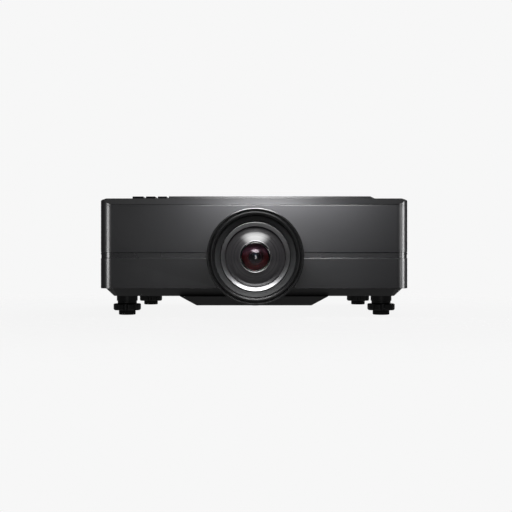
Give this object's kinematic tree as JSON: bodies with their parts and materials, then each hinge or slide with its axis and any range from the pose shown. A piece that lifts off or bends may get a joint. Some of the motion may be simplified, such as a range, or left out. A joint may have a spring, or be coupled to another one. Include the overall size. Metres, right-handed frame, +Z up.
{
  "type": "video projector",
  "caption": "Box-shaped installation projector with a large shifting zoom lens, keypad, louvred sides, rear sockets and screw feet.",
  "frame": {"origin": "on the floor below the middle of the whole machine, lens included", "axes": "+X right seen from the front, +Y to the rear, +Z up; the lens looks along -Y"},
  "size_m": [0.484, 0.509, 0.19],
  "materials": {
    "casing": "satin moulded",
    "casing_rear": "satin moulded",
    "base_black": "fine textured",
    "louvre_black": "fine textured",
    "accent_satin": "smooth satin",
    "hatch_black": "fine textured",
    "screw_black": "blackened",
    "board_green": "solder mask",
    "light_guide": "clear moulded",
    "dark_window": "polished",
    "foot_black": "fine textured",
    "foot_rubber": "moulded",
    "key_black": "smooth",
    "lens_black": "black anodised",
    "bright_ring": "fine turned",
    "front_glass": "polished and coated",
    "coated_glass": "polished and coated",
    "gear_plastic": "moulded",
    "motor_steel": "plated",
    "frame_metal": "machined",
    "io_black": "fine textured",
    "socket_metal": "plated",
    "socket_black": "moulded",
    "rocker_black": "smooth",
    "engine_cast": "die cast",
    "wheel_disc": "coated",
    "heat_sink": "extruded",
    "fan_black": "moulded",
    "supply_steel": "plated"
  },
  "bodies": {
    "root": {"accent_strips": "accent_satin", "audio_jacks": "socket_black", "base_tray": "base_black", "belly_pan": "base_black", "cover_screws": "screw_black", "d_sub_sockets": "socket_metal", "fan_frames": "fan_black", "foot_necks": "foot_black", "front_panel": "casing", "hdmi_sockets": "socket_metal", "io_plate": "io_black", "ir_window": "dark_window", "key_board": "board_green", "laser_module": "heat_sink", "lens_mount_plate": "frame_metal", "main_board": "board_green", "mains_inlet": "socket_black", "network_socket": "socket_metal", "optical_engine": "engine_cast", "power_supply": "supply_steel", "rear_panel": "casing_rear", "service_hatch": "hatch_black", "side_vent_left": "louvre_black", "side_vent_right": "louvre_black", "status_lights": "light_guide", "top_cover": "casing", "usb_sockets": "socket_metal"},
    "lens_lift": {"shift_frame_z": "frame_metal"},
    "lens": {"shift_frame_x": "frame_metal", "lens_barrel": "lens_black", "lens_hood": "lens_black", "lens_motors": "motor_steel"},
    "focus_ring": {"focus_ring": "gear_plastic"},
    "focus_group": {"front_cell": "bright_ring", "front_glass": "front_glass"},
    "focus_pinion": {"focus_pinion": "gear_plastic"},
    "zoom_ring": {"zoom_ring": "gear_plastic"},
    "zoom_group": {"inner_glass": "coated_glass"},
    "zoom_pinion": {"zoom_pinion": "gear_plastic"},
    "rocker": {"power_rocker": "rocker_black"},
    "phosphor_wheel": {"phosphor_wheel": "wheel_disc"},
    "fan_left": {"fan_left": "fan_black"},
    "fan_right": {"fan_right": "fan_black"},
    "key_menu": {"key_menu": "key_black"},
    "key_down": {"key_down": "key_black"},
    "key_back": {"key_back": "key_black"},
    "key_left": {"key_left": "key_black"},
    "key_enter": {"key_enter": "key_black"},
    "key_right": {"key_right": "key_black"},
    "key_power": {"key_power": "key_black"},
    "key_up": {"key_up": "key_black"},
    "key_source": {"key_source": "key_black"},
    "pad_front_left": {"foot_pad_front_left": "foot_rubber"},
    "wheel_front_left": {"foot_wheel_front_left": "foot_black"},
    "pad_front_right": {"foot_pad_front_right": "foot_rubber"},
    "wheel_front_right": {"foot_wheel_front_right": "foot_black"},
    "pad_rear_left": {"foot_pad_rear_left": "foot_rubber"},
    "wheel_rear_left": {"foot_wheel_rear_left": "foot_black"},
    "pad_rear_right": {"foot_pad_rear_right": "foot_rubber"},
    "wheel_rear_right": {"foot_wheel_rear_right": "foot_black"}
  },
  "joints": [
    {"name": "foot_lift_front_left", "type": "slide", "parent": "root", "child": "pad_front_left", "axis": [0, 0, -1], "range_m": [0, 0.018]},
    {"name": "foot_turn_front_left", "type": "hinge", "parent": "pad_front_left", "child": "wheel_front_left", "pos_m": [-0.2053, -0.1495, 0.012], "axis": [0, 0, 1], "range_deg": [0, 2160]},
    {"name": "foot_lift_front_right", "type": "slide", "parent": "root", "child": "pad_front_right", "axis": [0, 0, -1], "range_m": [0, 0.018]},
    {"name": "foot_turn_front_right", "type": "hinge", "parent": "pad_front_right", "child": "wheel_front_right", "pos_m": [0.2053, -0.1495, 0.012], "axis": [0, 0, 1], "range_deg": [0, 2160]},
    {"name": "foot_lift_rear_left", "type": "slide", "parent": "root", "child": "pad_rear_left", "axis": [0, 0, -1], "range_m": [0, 0.018]},
    {"name": "foot_turn_rear_left", "type": "hinge", "parent": "pad_rear_left", "child": "wheel_rear_left", "pos_m": [-0.2053, 0.1985, 0.012], "axis": [0, 0, 1], "range_deg": [0, 2160]},
    {"name": "foot_lift_rear_right", "type": "slide", "parent": "root", "child": "pad_rear_right", "axis": [0, 0, -1], "range_m": [0, 0.018]},
    {"name": "foot_turn_rear_right", "type": "hinge", "parent": "pad_rear_right", "child": "wheel_rear_right", "pos_m": [0.2053, 0.1985, 0.012], "axis": [0, 0, 1], "range_deg": [0, 2160]},
    {"name": "key_menu_press", "type": "slide", "parent": "root", "child": "key_menu", "axis": [0, 0, -1], "range_m": [0, 0.0008], "stiffness_N_per_m": 1500, "springref_m": -0.0002},
    {"name": "key_down_press", "type": "slide", "parent": "root", "child": "key_down", "axis": [0, 0, -1], "range_m": [0, 0.0008], "stiffness_N_per_m": 1500, "springref_m": -0.0002},
    {"name": "key_back_press", "type": "slide", "parent": "root", "child": "key_back", "axis": [0, 0, -1], "range_m": [0, 0.0008], "stiffness_N_per_m": 1500, "springref_m": -0.0002},
    {"name": "key_left_press", "type": "slide", "parent": "root", "child": "key_left", "axis": [0, 0, -1], "range_m": [0, 0.0008], "stiffness_N_per_m": 1500, "springref_m": -0.0002},
    {"name": "key_enter_press", "type": "slide", "parent": "root", "child": "key_enter", "axis": [0, 0, -1], "range_m": [0, 0.0008], "stiffness_N_per_m": 1500, "springref_m": -0.0002},
    {"name": "key_right_press", "type": "slide", "parent": "root", "child": "key_right", "axis": [0, 0, -1], "range_m": [0, 0.0008], "stiffness_N_per_m": 1500, "springref_m": -0.0002},
    {"name": "key_power_press", "type": "slide", "parent": "root", "child": "key_power", "axis": [0, 0, -1], "range_m": [0, 0.0008], "stiffness_N_per_m": 1500, "springref_m": -0.0002},
    {"name": "key_up_press", "type": "slide", "parent": "root", "child": "key_up", "axis": [0, 0, -1], "range_m": [0, 0.0008], "stiffness_N_per_m": 1500, "springref_m": -0.0002},
    {"name": "key_source_press", "type": "slide", "parent": "root", "child": "key_source", "axis": [0, 0, -1], "range_m": [0, 0.0008], "stiffness_N_per_m": 1500, "springref_m": -0.0002},
    {"name": "lens_shift_up", "type": "slide", "parent": "root", "child": "lens_lift", "axis": [0, 0, 1], "range_m": [-0.0045, 0.0045]},
    {"name": "lens_shift_side", "type": "slide", "parent": "lens_lift", "child": "lens", "axis": [1, 0, 0], "range_m": [-0.0029, 0.0029]},
    {"name": "focus_turn", "type": "hinge", "parent": "lens", "child": "focus_ring", "pos_m": [0.002, -0.183, 0.0934], "axis": [0, 1, 0], "range_deg": [-40, 40]},
    {"name": "focus_travel", "type": "slide", "parent": "lens", "child": "focus_group", "axis": [0, 1, 0], "range_m": [-0.001, 0.001]},
    {"name": "focus_pinion_spin", "type": "hinge", "parent": "lens", "child": "focus_pinion", "pos_m": [0.05922, -0.183, 0.14492], "axis": [0, 1, 0], "range_deg": [-240, 240]},
    {"name": "zoom_turn", "type": "hinge", "parent": "lens", "child": "zoom_ring", "pos_m": [0.002, -0.159, 0.0934], "axis": [0, 1, 0], "range_deg": [-30, 30]},
    {"name": "zoom_travel", "type": "slide", "parent": "lens", "child": "zoom_group", "axis": [0, 1, 0], "range_m": [-0.006, 0.006]},
    {"name": "zoom_pinion_spin", "type": "hinge", "parent": "lens", "child": "zoom_pinion", "pos_m": [-0.05522, -0.159, 0.14492], "axis": [0, 1, 0], "range_deg": [-180, 180]},
    {"name": "power_switch", "type": "hinge", "parent": "root", "child": "rocker", "pos_m": [0.145, 0.2475, 0.086], "axis": [1, 0, 0], "range_deg": [-14, 0]},
    {"name": "phosphor_spin", "type": "hinge", "parent": "root", "child": "phosphor_wheel", "pos_m": [0, 0.027, 0.095], "axis": [0, 1, 0], "continuous": true},
    {"name": "fan_left_spin", "type": "hinge", "parent": "root", "child": "fan_left", "pos_m": [-0.224, 0.106, 0.098], "axis": [1, 0, 0], "continuous": true},
    {"name": "fan_right_spin", "type": "hinge", "parent": "root", "child": "fan_right", "pos_m": [0.224, 0.106, 0.098], "axis": [1, 0, 0], "continuous": true}
  ],
  "couplings": [
    {"joint": "foot_lift_front_left", "follows": "foot_turn_front_left", "m_per_rad": 0.00047746},
    {"joint": "foot_lift_front_right", "follows": "foot_turn_front_right", "m_per_rad": 0.00047746},
    {"joint": "foot_lift_rear_left", "follows": "foot_turn_rear_left", "m_per_rad": 0.00047746},
    {"joint": "foot_lift_rear_right", "follows": "foot_turn_rear_right", "m_per_rad": 0.00047746},
    {"joint": "focus_travel", "follows": "focus_turn", "m_per_rad": 0.0014323},
    {"joint": "focus_pinion_spin", "follows": "focus_turn", "ratio": -6},
    {"joint": "zoom_travel", "follows": "zoom_turn", "m_per_rad": 0.011458},
    {"joint": "zoom_pinion_spin", "follows": "zoom_turn", "ratio": -6}
  ]
}
